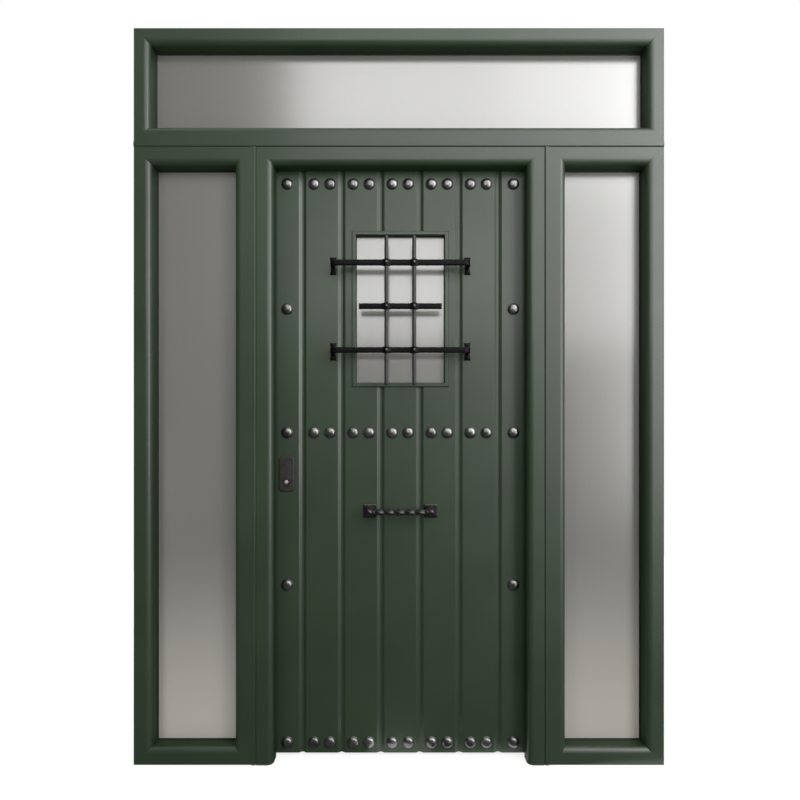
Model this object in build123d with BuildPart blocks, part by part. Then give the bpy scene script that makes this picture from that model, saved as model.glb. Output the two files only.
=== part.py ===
"""Rustic entrance door set: a plank leaf with a grilled window, two fixed side lights and a top light.

Millimetres. X runs to the right seen from outside, Y runs inwards and Z runs up. The origin is the
middle of the hinge jamb's foot, on the floor.
"""

import os
from math import atan2, cos, degrees, radians, sin, sqrt

from build123d import *

os.makedirs("parts", exist_ok=True)

# Door set, over its outer faces
set_width = 1900.0
set_height = 2640.0
left_light_width = 437.0
door_unit_width = 1036.0
lower_height = 2215.0
frame_depth = 110.0

# Frame profile: a front lip with a rounded inner edge, and a rebate behind it
frame_face = 62.0
coupled_stile_face = 76.0
top_stile_face = 57.0
top_head_face = 56.0
top_sill_face = 74.0
edge_radius = 22.0
joint_chamfer = 3.0
rebate = 20.0
glass_seat = 60.0
leaf_stop = 55.0

# Glass units and the beads that hold them from inside
glass_thickness = 24.0
glass_edge_gap = 5.0
bead_chamfer = 5.0
bead_end_gap = 0.3

# Door leaf of full-thickness planks
leaf_thickness = 50.0
leaf_clearance = 5.0
lock_edge_gap = 7.5
floor_gap = 12.0
edge_plank_sight = 96.0
plank_count = 7
groove_floor = 6.0
groove_flank = 11.0
groove_depth = 7.0
tongue_length = 8.0
tongue_thickness = 10.0
tongue_gap = 0.2

# Window in the leaf, sight size inside its mouldings
window_width = 325.0
window_height = 543.0
window_drop = 522.0
moulding_width = 15.5
moulding_lap = 5.0
moulding_proud = 5.0
moulding_chamfer = 2.5
window_glass_set = 16.0
window_glass_gap = 0.2
mitre_gap = 0.15

# Wrought iron grille in front of the window
grille_standoff = 46.0
grille_bar_height = 20.0
grille_bar_depth = 14.0
grille_bar_spacing = 157.5
long_bar_length = 520.0
short_bar_length = 298.0
upright_spacing = 100.0
upright_length = 567.0
upright_radius = 7.0
upright_clearance = 0.2
eye_radius = 14.0
eye_sides = 8
eye_height = 26.0
rivet_radius = 4.5
rivet_height = 4.0
foot_height = 64.0
foot_width = 26.0
foot_waist = 15.0
foot_thickness = 5.0

# Domed studs: three full rows, and single studs near the edges between them
stud_radius = 21.5
stud_shoulder_radius = 15.5
stud_shoulder_rise = 8.0
stud_crown_radius = 7.0
stud_height = 13.0
stud_facets = 12
stud_pair_spacing = 59.0
stud_edge_inset = 40.0
top_row_drop = 62.0
middle_row_height = 1191.0
bottom_row_rise = 39.0
lower_edge_stud_height = 630.0

# Twisted pull, a square bar between two forged brackets
pull_below_lock = 135.0
pull_spacing = 224.0
pull_plate = 50.0
pull_plate_thickness = 5.0
pull_plate_chamfer = 2.0
pull_reach = 44.0
pull_post_radius = 14.0
pull_post_shoulder = 8.0
pull_post_bevel = 5.0
pull_post_dome = 8.0
pull_collar_radius = 13.2
pull_collar_sides = 12
pull_collar_reach = 20.0
pull_bar_side = 18.0
pull_turn = 450.0
pull_twist_steps = 60

# Lock: plates on both faces, a cylinder right through, an inside lever and plates in the edges
lock_inset = 38.0
lock_below_studs = 153.0
lock_plate_width = 56.0
lock_plate_height = 126.0
lock_plate_thickness = 6.0
lock_plate_radius = 12.0
lock_plate_chamfer = 2.0
cylinder_radius = 8.5
cylinder_tail = 10.0
cylinder_drop = 17.0
cylinder_below = 28.0
cylinder_proud = 4.0
cylinder_clearance = 0.3
lever_above = 32.0
lever_neck_radius = 7.0
lever_reach = 52.0
lever_length = 118.0
lever_width = 20.0
lever_thickness = 13.0
lever_chamfer = 3.0
edge_plate_width = 22.0
edge_plate_height = 240.0
edge_plate_thickness = 3.0
bolt_slot_width = 13.0
bolt_slot_height = 52.0
bolt_slot_drop = 40.0
latch_slot_height = 30.0
latch_slot_rise = 55.0
mortise_depth = 16.0

# Hinges on the inside face
hinge_inset = 248.0
hinge_length = 110.0
hinge_barrel_radius = 8.5
hinge_barrel_gap = 1.5
hinge_split_gap = 0.8
hinge_pin_radius = 5.0
hinge_pin_clearance = 0.05
hinge_cap = 3.0
flap_width = 38.0
flap_thickness = 4.0

# Places worked out from the sizes above
half_unit = door_unit_width / 2
door_x = frame_face / 2 - rebate / 2 - half_unit
front_y = -frame_depth / 2
back_y = frame_depth / 2
left_joint_x = door_x - half_unit
right_joint_x = door_x + half_unit
left_x = left_joint_x - left_light_width
right_x = left_x + set_width
door_sight_left = left_joint_x + frame_face
door_sight_right = right_joint_x - frame_face
door_sight_top = lower_height - frame_face

leaf_front = front_y + leaf_stop + leaf_clearance
leaf_back = leaf_front + leaf_thickness
leaf_middle_y = (leaf_front + leaf_back) / 2
leaf_left = door_sight_left - rebate + lock_edge_gap
leaf_right = door_sight_right + rebate - leaf_clearance
leaf_top = door_sight_top + rebate - leaf_clearance
first_joint_x = door_sight_left + edge_plank_sight
plank_pitch = (door_sight_right - edge_plank_sight - first_joint_x) / (plank_count - 2)
plank_joints = [first_joint_x + k * plank_pitch for k in range(plank_count - 1)]

hole_width = window_width + 2 * (moulding_width - moulding_lap)
hole_height = window_height + 2 * (moulding_width - moulding_lap)
window_middle = leaf_top - window_drop
lock_x = door_sight_left + lock_inset
lock_height = middle_row_height - lock_below_studs
pull_height = lock_height - pull_below_lock
hinge_heights = (floor_gap + hinge_inset, (floor_gap + leaf_top) / 2, leaf_top - hinge_inset)
hinge_x = (leaf_right + door_sight_right + rebate) / 2
hinge_y = max(back_y, leaf_back) + hinge_barrel_gap + hinge_barrel_radius


def hand_over(piece, name):
    """Label a finished piece and write it to its STEP file."""
    piece.part.label = name
    export_step(piece.part, f"parts/{name}.step")


def mitre(corner_x, corner_z, towards_x, towards_z, gap=0.0):
    """A 45 degree cutting plane through a sight corner, facing the side that is kept."""
    origin = (corner_x + towards_x * gap, 0, corner_z + towards_z * gap)
    return Plane(origin=origin, z_dir=(towards_x, 0, towards_z))


def side_planes(x0, x1, z0, z1, y):
    """Section planes of four members round a rectangle: local x runs inwards, local y runs in depth."""
    return {
        "left": Plane(origin=(x0, y, z0), x_dir=(1, 0, 0), z_dir=(0, 0, 1)),
        "right": Plane(origin=(x1, y, z1), x_dir=(-1, 0, 0), z_dir=(0, 0, -1)),
        "head": Plane(origin=(x0, y, z1), x_dir=(0, 0, -1), z_dir=(1, 0, 0)),
        "sill": Plane(origin=(x1, y, z0), x_dir=(0, 0, 1), z_dir=(-1, 0, 0)),
    }


def side_mitres(sx0, sx1, sz0, sz1, gap=0.0):
    """The two mitres of each member round a sight rectangle."""
    return {
        "left": [mitre(sx0, sz0, -1, 1, gap), mitre(sx0, sz1, -1, -1, gap)],
        "right": [mitre(sx1, sz0, 1, 1, gap), mitre(sx1, sz1, 1, -1, gap)],
        "head": [mitre(sx0, sz1, 1, 1, gap), mitre(sx1, sz1, -1, 1, gap)],
        "sill": [mitre(sx0, sz0, 1, -1, gap), mitre(sx1, sz0, -1, -1, gap)],
    }


def frame_member(name, plane, length, face, seat, mitres, recess=None):
    """One length of frame profile, cut to its mitres, with a recess for what is let into it."""
    with BuildPart() as member:
        with BuildSketch(plane):
            with BuildLine():
                front = Polyline(
                    (0, frame_depth), (0, joint_chamfer), (joint_chamfer, 0), (face - edge_radius, 0)
                )
                rounding = TangentArc(front @ 1, (face, edge_radius), tangent=front % 1)
                Polyline(
                    rounding @ 1,
                    (face, seat),
                    (face - rebate, seat),
                    (face - rebate, frame_depth),
                    (0, frame_depth),
                )
            make_face()
        extrude(amount=length)
        for cut in mitres:
            split(bisect_by=cut, keep=Keep.TOP)
        if recess:
            add(recess, mode=Mode.SUBTRACT)
    hand_over(member, name)


def fixed_light(light, x0, x1, z0, z1, faces):
    """A mitred frame, with a face width for each side, its glass unit and the four beads behind it."""
    lengths = {"left": z1 - z0, "right": z1 - z0, "head": x1 - x0, "sill": x1 - x0}
    sight = (x0 + faces["left"], x1 - faces["right"], z0 + faces["sill"], z1 - faces["head"])
    planes = side_planes(x0, x1, z0, z1, front_y)
    cuts = side_mitres(*sight)
    names = {"left": "left_stile", "right": "right_stile", "head": "head", "sill": "sill"}
    for side, plane in planes.items():
        name = f"{light}_{names[side]}"
        frame_member(name, plane, lengths[side], faces[side], glass_seat, cuts[side])

    sight_width = sight[1] - sight[0]
    sight_height = sight[3] - sight[2]
    middle_x = (sight[0] + sight[1]) / 2
    middle_z = (sight[2] + sight[3]) / 2
    bite = 2 * (rebate - glass_edge_gap)
    glass_y = front_y + glass_seat
    with BuildPart() as glass:
        with BuildSketch(Plane.XZ.offset(-glass_y)):
            with Locations((middle_x, middle_z)):
                Rectangle(sight_width + bite, sight_height + bite)
        extrude(amount=-glass_thickness)
    hand_over(glass, f"{light}_glass")

    bead_y = glass_y + glass_thickness
    bead_depth = frame_depth - glass_seat - glass_thickness
    rebate_box = (sight[0] - rebate, sight[1] + rebate, sight[2] - rebate, sight[3] + rebate)
    bead_planes = side_planes(*rebate_box, bead_y)
    bead_runs = {
        "left": (rebate + bead_end_gap, sight_height - 2 * bead_end_gap),
        "right": (rebate + bead_end_gap, sight_height - 2 * bead_end_gap),
        "head": (0, sight_width + 2 * rebate),
        "sill": (0, sight_width + 2 * rebate),
    }
    with BuildPart() as beads:
        for side, plane in bead_planes.items():
            start, length = bead_runs[side]
            with BuildSketch(plane.offset(start)):
                with BuildLine():
                    Polyline(
                        (0, 0),
                        (rebate, 0),
                        (rebate, bead_depth - bead_chamfer),
                        (rebate - bead_chamfer, bead_depth),
                        (0, bead_depth),
                        close=True,
                    )
                make_face()
            extrude(amount=length)
    hand_over(beads, f"{light}_beads")


# Fixed lights: one over the whole width, one on each side of the door
top_faces = {"left": top_stile_face, "right": top_stile_face, "head": top_head_face, "sill": top_sill_face}
side_faces = {"left": frame_face, "right": frame_face, "head": frame_face, "sill": frame_face}
fixed_light("top_light", left_x, right_x, lower_height, set_height, top_faces)
fixed_light("left_light", left_x, left_joint_x, 0, lower_height, side_faces | {"right": coupled_stile_face})
fixed_light("right_light", right_joint_x, right_x, 0, lower_height, side_faces | {"left": coupled_stile_face})

# Door frame: two jambs that stand on the floor and a head, mitred together
door_planes = side_planes(left_joint_x, right_joint_x, 0, lower_height, front_y)
door_cuts = side_mitres(door_sight_left, door_sight_right, 0, door_sight_top)
frame_member("hinge_jamb", door_planes["right"], lower_height, frame_face, leaf_stop, door_cuts["right"][1:])
frame_member("door_head", door_planes["head"], door_unit_width, frame_face, leaf_stop, door_cuts["head"])


def edge_plate(name, x, inwards):
    """A lock plate let into an edge, slotted for bolt and latch, and the recess with mortises behind it."""
    side = Align.MIN if inwards > 0 else Align.MAX
    slots = [
        (lock_height - bolt_slot_drop, bolt_slot_height),
        (lock_height + latch_slot_rise, latch_slot_height),
    ]
    with BuildPart() as plate:
        with Locations((x, leaf_middle_y, lock_height)):
            Box(
                edge_plate_thickness,
                edge_plate_width,
                edge_plate_height,
                align=(side, Align.CENTER, Align.CENTER),
            )
        for slot_z, slot_height in slots:
            with Locations((x, leaf_middle_y, slot_z)):
                Box(mortise_depth, bolt_slot_width, slot_height, mode=Mode.SUBTRACT)
    hand_over(plate, name)
    with BuildPart() as recess:
        add(plate.part)
        for slot_z, slot_height in slots:
            with Locations((x, leaf_middle_y, slot_z)):
                Box(
                    mortise_depth,
                    bolt_slot_width,
                    slot_height,
                    align=(side, Align.CENTER, Align.CENTER),
                )
    return recess.part


# Lock jamb, with the strike plate let into its rebate
strike_recess = edge_plate("strike_plate", door_sight_left - rebate, -1)
frame_member(
    "lock_jamb",
    door_planes["left"],
    lower_height,
    frame_face,
    leaf_stop,
    door_cuts["left"][1:],
    recess=strike_recess,
)

# Lock plate let into the leaf's free edge
lock_edge_recess = edge_plate("lock_edge_plate", leaf_left, 1)


def cylinder_outline(grow):
    """Keyhole outline of a lock cylinder: a round body with a straight tail below it."""
    with Locations((lock_x, lock_height - cylinder_below)):
        Circle(cylinder_radius + grow)
    with Locations((lock_x, lock_height - cylinder_below - cylinder_drop / 2)):
        Rectangle(cylinder_tail + 2 * grow, cylinder_drop + 2 * grow)


def plank_edge(x, inwards, grooved):
    """Corner points of one plank edge, from the outside face to the inside face."""
    if not grooved:
        return [(x, leaf_front), (x, leaf_back)]
    toe = x + inwards * groove_floor / 2
    crest = toe + inwards * groove_flank
    return [
        (crest, leaf_front),
        (toe, leaf_front + groove_depth),
        (x, leaf_front + groove_depth),
        (x, leaf_back - groove_depth),
        (toe, leaf_back - groove_depth),
        (crest, leaf_back),
    ]


# Planks of the leaf, joined by tongue and groove, with the window cut through the middle ones
plank_lefts = [leaf_left, *plank_joints]
plank_rights = [*plank_joints, leaf_right]
for number, (plank_left, plank_right) in enumerate(zip(plank_lefts, plank_rights), start=1):
    first = number == 1
    last = number == plank_count
    with BuildPart() as plank:
        with BuildSketch(Plane.XY.offset(floor_gap)):
            with BuildLine():
                outline = plank_edge(plank_left, 1, not first) + plank_edge(plank_right, -1, not last)[::-1]
                Polyline(*outline, close=True)
            make_face()
            if not last:
                with Locations((plank_right, leaf_middle_y)):
                    Rectangle(tongue_length, tongue_thickness, align=(Align.MIN, Align.CENTER))
            if not first:
                with Locations((plank_left, leaf_middle_y)):
                    Rectangle(
                        tongue_length + tongue_gap,
                        tongue_thickness + 2 * tongue_gap,
                        align=(Align.MIN, Align.CENTER),
                        mode=Mode.SUBTRACT,
                    )
        extrude(amount=leaf_top - floor_gap)
        with Locations((door_x, leaf_middle_y, window_middle)):
            Box(hole_width, 2 * leaf_thickness, hole_height, mode=Mode.SUBTRACT)
        if first:
            add(lock_edge_recess, mode=Mode.SUBTRACT)
            with BuildSketch(Plane.XZ.offset(-leaf_back)):
                cylinder_outline(cylinder_clearance)
            extrude(amount=leaf_thickness, mode=Mode.SUBTRACT)
    hand_over(plank, f"plank_{number}")

# Window: a glass unit clamped between an outside and an inside moulding
window_glass_y = leaf_front + window_glass_set
with BuildPart() as window_glass:
    with BuildSketch(Plane.XZ.offset(-window_glass_y)):
        with Locations((door_x, window_middle)):
            Rectangle(hole_width - 2 * window_glass_gap, hole_height - 2 * window_glass_gap)
    extrude(amount=-glass_thickness)
hand_over(window_glass, "window_glass")


def window_moulding(name, face_y, outwards, leg):
    """Four mitred strips: a flange that laps onto the planks and a leg that reaches in to the glass."""
    sight_x0 = door_x - window_width / 2
    sight_x1 = door_x + window_width / 2
    sight_z0 = window_middle - window_height / 2
    sight_z1 = window_middle + window_height / 2
    edges = (
        sight_x0 - moulding_width,
        sight_x1 + moulding_width,
        sight_z0 - moulding_width,
        sight_z1 + moulding_width,
    )
    planes = side_planes(*edges, face_y)
    cuts = side_mitres(sight_x0, sight_x1, sight_z0, sight_z1, mitre_gap)
    runs = {
        "left": window_height + 2 * moulding_width,
        "right": window_height + 2 * moulding_width,
        "head": window_width + 2 * moulding_width,
        "sill": window_width + 2 * moulding_width,
    }
    strips = []
    for side, plane in planes.items():
        with BuildPart() as strip:
            with BuildSketch(plane):
                with Locations((moulding_width / 2, outwards * moulding_proud / 2)):
                    flange = Rectangle(moulding_width, moulding_proud)
                crest = flange.vertices().group_by(Axis.Y)[0 if outwards < 0 else -1]
                chamfer(crest, moulding_chamfer)
                with Locations(((moulding_width + moulding_lap) / 2, -outwards * leg / 2)):
                    Rectangle(moulding_width - moulding_lap, leg)
            extrude(amount=runs[side])
            for cut in cuts[side]:
                split(bisect_by=cut, keep=Keep.TOP)
        strips.append(strip.part)
    with BuildPart() as moulding:
        add(strips)
    hand_over(moulding, name)


window_moulding("window_outside_moulding", leaf_front, -1, window_glass_set)
window_moulding("window_inside_moulding", leaf_back, 1, leaf_thickness - window_glass_set - glass_thickness)

# Grille: uprights passed through eyes in the level bars, a rivet on each eye
grille_y = leaf_front - grille_standoff
upright_places = [door_x - upright_spacing / 2, door_x + upright_spacing / 2]
grille_bars = {
    "grille_top_bar": (window_middle + grille_bar_spacing, long_bar_length, True),
    "grille_middle_bar": (window_middle, short_bar_length, False),
    "grille_bottom_bar": (window_middle - grille_bar_spacing, long_bar_length, True),
}
for bar_name, (bar_z, bar_length, on_feet) in grille_bars.items():
    with BuildPart() as grille_bar:
        with Locations((door_x, grille_y, bar_z)):
            Box(bar_length, grille_bar_depth, grille_bar_height)
        if on_feet:
            for side in (-1, 1):
                foot_x = door_x + side * (bar_length - foot_width) / 2
                with Locations((foot_x, (grille_y + leaf_front) / 2, bar_z)):
                    Box(foot_waist, leaf_front - grille_y, grille_bar_height)
                with BuildSketch(Plane.XZ.offset(-leaf_front)):
                    with BuildLine():
                        hollows = [
                            ThreePointArc(
                                (foot_x + flank * foot_width / 2, bar_z - flank * foot_height / 2),
                                (foot_x + flank * foot_waist / 2, bar_z),
                                (foot_x + flank * foot_width / 2, bar_z + flank * foot_height / 2),
                            )
                            for flank in (1, -1)
                        ]
                        Line(hollows[0] @ 1, hollows[1] @ 0)
                        Line(hollows[1] @ 1, hollows[0] @ 0)
                    make_face()
                extrude(amount=foot_thickness)
        with BuildSketch(Plane.XY.offset(bar_z - eye_height / 2)):
            with Locations([(x, grille_y) for x in upright_places]):
                RegularPolygon(eye_radius, eye_sides, major_radius=False, rotation=180 / eye_sides)
        extrude(amount=eye_height)
        with Locations([(x, grille_y, bar_z) for x in upright_places]):
            Cylinder(upright_radius + upright_clearance, eye_height, mode=Mode.SUBTRACT)
        rivet_seat = Plane.XZ.offset(eye_radius - grille_y)
        with Locations([rivet_seat.location * Location((x, bar_z, 0)) for x in upright_places]):
            Cylinder(rivet_radius, 2 * rivet_height)
    hand_over(grille_bar, bar_name)

with BuildPart() as grille_uprights:
    with Locations([(x, grille_y, window_middle) for x in upright_places]):
        Cylinder(upright_radius, upright_length)
hand_over(grille_uprights, "grille_uprights")

# Domed studs on the outside face
plank_centres = [(a + b) / 2 for a, b in zip(plank_joints, plank_joints[1:])]
row_places = [door_sight_left + stud_edge_inset]
for centre in plank_centres:
    row_places += [centre - stud_pair_spacing / 2, centre + stud_pair_spacing / 2]
row_places.append(door_sight_right - stud_edge_inset)
stud_rows = [leaf_top - top_row_drop, middle_row_height, floor_gap + bottom_row_rise]
stud_places = [(x, z) for z in stud_rows for x in row_places]
for edge_z in (window_middle, lower_edge_stud_height):
    stud_places += [(row_places[0], edge_z), (row_places[-1], edge_z)]
stud_bands = [
    (stud_radius, stud_shoulder_radius, 0, stud_shoulder_rise),
    (stud_shoulder_radius, stud_crown_radius, stud_shoulder_rise, stud_height),
]
with BuildPart() as stud:
    for low_radius, high_radius, low, high in stud_bands:
        with BuildSketch(Plane.XY.offset(low)):
            RegularPolygon(low_radius, stud_facets, major_radius=False)
        extrude(amount=high - low, taper=degrees(atan2(low_radius - high_radius, high - low)))
outside_face = Plane.XZ.offset(-leaf_front)
with BuildPart() as studs:
    with Locations([outside_face.location * Location((x, z, 0)) for x, z in stud_places]):
        add(stud.part)
hand_over(studs, "studs")

# Pull: forged brackets with domed posts, and a twisted square bar between their collars
pull_y = leaf_front - pull_reach
bar_end = pull_spacing / 2 - pull_collar_reach
with BuildPart() as pull_brackets:
    for side in (-1, 1):
        post_x = door_x + side * pull_spacing / 2
        with BuildSketch(outside_face):
            with Locations((post_x, pull_height)):
                Rectangle(pull_plate, pull_plate)
        extrude(amount=pull_plate_thickness)
    chamfer(pull_brackets.edges().filter_by(Plane.XZ).group_by(Axis.Y)[0], pull_plate_chamfer)
    for side in (-1, 1):
        post_x = door_x + side * pull_spacing / 2
        rim_x = post_x + side * pull_post_radius
        rim_y = pull_y - pull_post_shoulder
        with BuildSketch(Plane.XY.offset(pull_height)):
            with BuildLine():
                Polyline(
                    (post_x, leaf_front),
                    (rim_x, leaf_front),
                    (rim_x, rim_y),
                    (rim_x - side * pull_post_bevel, rim_y - pull_post_bevel),
                    (post_x, rim_y - pull_post_dome),
                    close=True,
                )
            make_face()
        revolve(axis=Axis((post_x, 0, pull_height), (0, 1, 0)))
        with BuildSketch(Plane.YZ.offset(post_x)):
            with Locations((pull_y, pull_height)):
                RegularPolygon(pull_collar_radius, pull_collar_sides)
        extrude(amount=-side * pull_collar_reach)
hand_over(pull_brackets, "pull_brackets")


def twist_corners(share):
    """Corners of the square bar at a share of its length, turned about its axis."""
    x = door_x - bar_end + 2 * bar_end * share
    turns = [radians(pull_turn * share + 90 * quarter) for quarter in range(4)]
    reach = pull_bar_side / sqrt(2)
    return [(x, pull_y + reach * cos(turn), pull_height + reach * sin(turn)) for turn in turns]


twist_rings = [twist_corners(step / pull_twist_steps) for step in range(pull_twist_steps + 1)]
twist_faces = [Face(Wire.make_polygon(ring)) for ring in (twist_rings[0], twist_rings[-1])]
for near, far in zip(twist_rings, twist_rings[1:]):
    for corner in range(4):
        following = (corner + 1) % 4
        twist_faces.append(Face(Wire.make_polygon([near[corner], near[following], far[following]])))
        twist_faces.append(Face(Wire.make_polygon([near[corner], far[following], far[corner]])))
with BuildPart() as pull_bar:
    add(Solid(Shell(twist_faces)))
hand_over(pull_bar, "pull_bar")

# Lock cylinder right through the leaf, plates on both faces and a lever inside
with BuildPart() as lock_cylinder:
    cylinder_end = lock_plate_thickness + cylinder_proud
    with BuildSketch(Plane.XZ.offset(cylinder_end - leaf_front)):
        cylinder_outline(0)
    extrude(amount=-(leaf_thickness + 2 * cylinder_end))
hand_over(lock_cylinder, "lock_cylinder")


def lock_plate(name, face_y, outwards):
    """Round-cornered plate with its keyhole."""
    with BuildPart() as plate:
        with BuildSketch(Plane.XZ.offset(-face_y)):
            with Locations((lock_x, lock_height)):
                RectangleRounded(lock_plate_width, lock_plate_height, lock_plate_radius)
        extrude(amount=-outwards * lock_plate_thickness)
        rim = plate.faces().sort_by(Axis.Y)[0 if outwards < 0 else -1].outer_wire().edges()
        chamfer(rim, lock_plate_chamfer)
        with BuildSketch(Plane.XZ.offset(-face_y)):
            cylinder_outline(cylinder_clearance)
        extrude(amount=-outwards * lock_plate_thickness, mode=Mode.SUBTRACT)
    hand_over(plate, name)


lock_plate("lock_outside_plate", leaf_front, -1)
lock_plate("lock_inside_plate", leaf_back, 1)

with BuildPart() as inside_lever:
    lever_y = leaf_back + lock_plate_thickness
    lever_z = lock_height + lever_above
    grip_back = lever_y + lever_reach - lever_thickness
    with BuildSketch(Plane.XZ.offset(-grip_back)):
        with Locations((lock_x + (lever_length - lever_width) / 2, lever_z)):
            SlotOverall(lever_length, lever_width)
    extrude(amount=-lever_thickness)
    chamfer(inside_lever.faces().sort_by(Axis.Y)[-1].edges(), lever_chamfer)
    with BuildSketch(Plane.XZ.offset(-lever_y)):
        with Locations((lock_x, lever_z)):
            Circle(lever_neck_radius)
    extrude(amount=-(lever_reach - lever_thickness))
hand_over(inside_lever, "inside_lever")

# Lift-off hinges: the frame flap carries the pin, the leaf flap turns on it
with BuildPart() as hinge_frame_flaps:
    for hinge_z in hinge_heights:
        with Locations((hinge_x, back_y, hinge_z - hinge_length / 2)):
            Box(
                flap_width,
                flap_thickness,
                (hinge_length - hinge_split_gap) / 2,
                align=(Align.MIN, Align.MIN, Align.MIN),
            )
        with Locations((hinge_x, hinge_y, hinge_z - hinge_length / 2)):
            Cylinder(
                hinge_barrel_radius,
                (hinge_length - hinge_split_gap) / 2,
                align=(Align.CENTER, Align.CENTER, Align.MIN),
            )
            Cylinder(
                hinge_pin_radius,
                hinge_length - 2 * hinge_cap,
                align=(Align.CENTER, Align.CENTER, Align.MIN),
            )
hand_over(hinge_frame_flaps, "hinge_frame_flaps")

with BuildPart() as hinge_leaf_flaps:
    for hinge_z in hinge_heights:
        with Locations((hinge_x, leaf_back, hinge_z + hinge_split_gap / 2)):
            Box(
                flap_width,
                flap_thickness,
                (hinge_length - hinge_split_gap) / 2,
                align=(Align.MAX, Align.MIN, Align.MIN),
            )
        with Locations((hinge_x, hinge_y, hinge_z + hinge_split_gap / 2)):
            Cylinder(
                hinge_barrel_radius,
                (hinge_length - hinge_split_gap) / 2,
                align=(Align.CENTER, Align.CENTER, Align.MIN),
            )
        with Locations((hinge_x, hinge_y, hinge_z)):
            Cylinder(
                hinge_pin_radius + hinge_pin_clearance,
                hinge_length / 2 - hinge_cap,
                align=(Align.CENTER, Align.CENTER, Align.MIN),
                mode=Mode.SUBTRACT,
            )
hand_over(hinge_leaf_flaps, "hinge_leaf_flaps")
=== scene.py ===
# %% [markdown]
# # A rustic entrance door set
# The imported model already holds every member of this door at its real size: a plank leaf with a
# grilled window, a light on each side and one above. Here we dress it, as a finisher and a smith would:
# paint, etched glass, black iron, rubber seals and fixings. Everything is in metres in the model's own
# frame, X to the right seen from outside, Y inwards and Z up, so nothing has to be fitted afterwards.

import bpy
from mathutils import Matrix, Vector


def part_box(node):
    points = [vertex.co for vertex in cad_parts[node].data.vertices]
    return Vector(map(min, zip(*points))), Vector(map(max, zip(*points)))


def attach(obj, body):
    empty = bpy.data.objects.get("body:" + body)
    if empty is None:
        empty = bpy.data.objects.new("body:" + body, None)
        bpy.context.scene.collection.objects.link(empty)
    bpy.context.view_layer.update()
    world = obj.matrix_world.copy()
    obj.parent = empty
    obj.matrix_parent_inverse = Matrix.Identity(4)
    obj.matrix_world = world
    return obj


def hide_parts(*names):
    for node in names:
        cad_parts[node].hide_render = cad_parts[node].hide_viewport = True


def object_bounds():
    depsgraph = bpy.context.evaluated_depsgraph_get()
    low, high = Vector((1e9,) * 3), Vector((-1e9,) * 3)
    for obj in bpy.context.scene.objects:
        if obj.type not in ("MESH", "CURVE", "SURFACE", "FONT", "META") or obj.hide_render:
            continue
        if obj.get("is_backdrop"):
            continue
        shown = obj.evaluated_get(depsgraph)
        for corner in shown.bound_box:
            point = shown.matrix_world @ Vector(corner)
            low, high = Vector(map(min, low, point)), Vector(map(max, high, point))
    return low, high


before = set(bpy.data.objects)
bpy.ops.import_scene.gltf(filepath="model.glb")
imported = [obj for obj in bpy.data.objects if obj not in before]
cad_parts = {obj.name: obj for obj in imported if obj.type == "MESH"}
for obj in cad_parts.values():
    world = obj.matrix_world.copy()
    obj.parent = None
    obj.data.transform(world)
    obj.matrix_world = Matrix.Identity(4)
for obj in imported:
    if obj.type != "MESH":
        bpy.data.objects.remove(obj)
cad_low, cad_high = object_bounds()
print("pieces", len(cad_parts), "box in mm", [round(side * 1000) for side in cad_high - cad_low])

# %% [markdown]
# ## Sizes that the looks hang on
# A size could be typed in again here, but then it could drift away from the model. So each one is read
# from the box of the piece that has it.

# %% Read the places of the pieces
import math

import bpy
import numpy as np

MM = 0.001


def span(node):
    """Lowest and highest corner of a piece as two arrays."""
    low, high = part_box(node)
    return np.array(low), np.array(high)


def centre(node):
    """Middle of the box of a piece."""
    low, high = span(node)
    return (low + high) / 2


leaf_front = span("plank_2")[0][1]
leaf_back = span("plank_2")[1][1]
frame_front = span("hinge_jamb")[0][1]
door_left = span("lock_jamb")[0][0]
door_right = span("hinge_jamb")[1][0]
door_x = (door_left + door_right) / 2
window_z = centre("window_glass")[2]
lock_x, _, lock_z = centre("lock_outside_plate")
print("doorway middle", round(door_x, 3), "window height", round(window_z, 3))

# %% [markdown]
# ## One way to write a colour and a node
# Colours are easiest to note down as sRGB hex values, but shaders work in linear light, so one function
# converts them. Node trees get long when every socket is set by hand, so one small function adds a node,
# sets its values and links its sockets. Texture scales come from a real size in millimetres.

# %% Colour and node helpers
def linear(hex_colour):
    """Linear RGBA of sRGB hex: c / 12.92 up to 0.04045, else ((c + 0.055) / 1.055) to the power 2.4."""
    channels = [int(hex_colour[i : i + 2], 16) / 255 for i in (1, 3, 5)]
    return [c / 12.92 if c <= 0.04045 else ((c + 0.055) / 1.055) ** 2.4 for c in channels] + [1.0]


def repeats(size_mm):
    """Features of that size in one metre, which is what a texture's Scale counts."""
    return 1000 / size_mm


def add(tree, kind, inputs=None, **settings):
    """Add one node; inputs hold values or sockets to link from, settings are the node's own options."""
    node = tree.nodes.new("ShaderNode" + kind)
    for option, value in settings.items():
        setattr(node, option, value)
    for socket, value in (inputs or {}).items():
        if isinstance(value, bpy.types.NodeSocket):
            tree.links.new(value, node.inputs[socket])
        else:
            node.inputs[socket].default_value = value
    return node


def new_finish(name):
    """An empty material, its node tree and its object coordinates."""
    material = bpy.data.materials.new(name)
    material.use_nodes = True
    material.node_tree.nodes.clear()
    return material, material.node_tree, add(material.node_tree, "TexCoord").outputs["Object"]


def between(ramp, low, high):
    """Set the two ends of a colour ramp: a position and a hex colour each."""
    for element, (position, colour) in zip(ramp.color_ramp.elements, (low, high)):
        element.position = position
        element.color = linear(colour)
    return ramp.outputs["Color"]


print("white is", linear("#ffffff"), "and a 5 mm pattern repeats", repeats(5), "times a metre")

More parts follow.
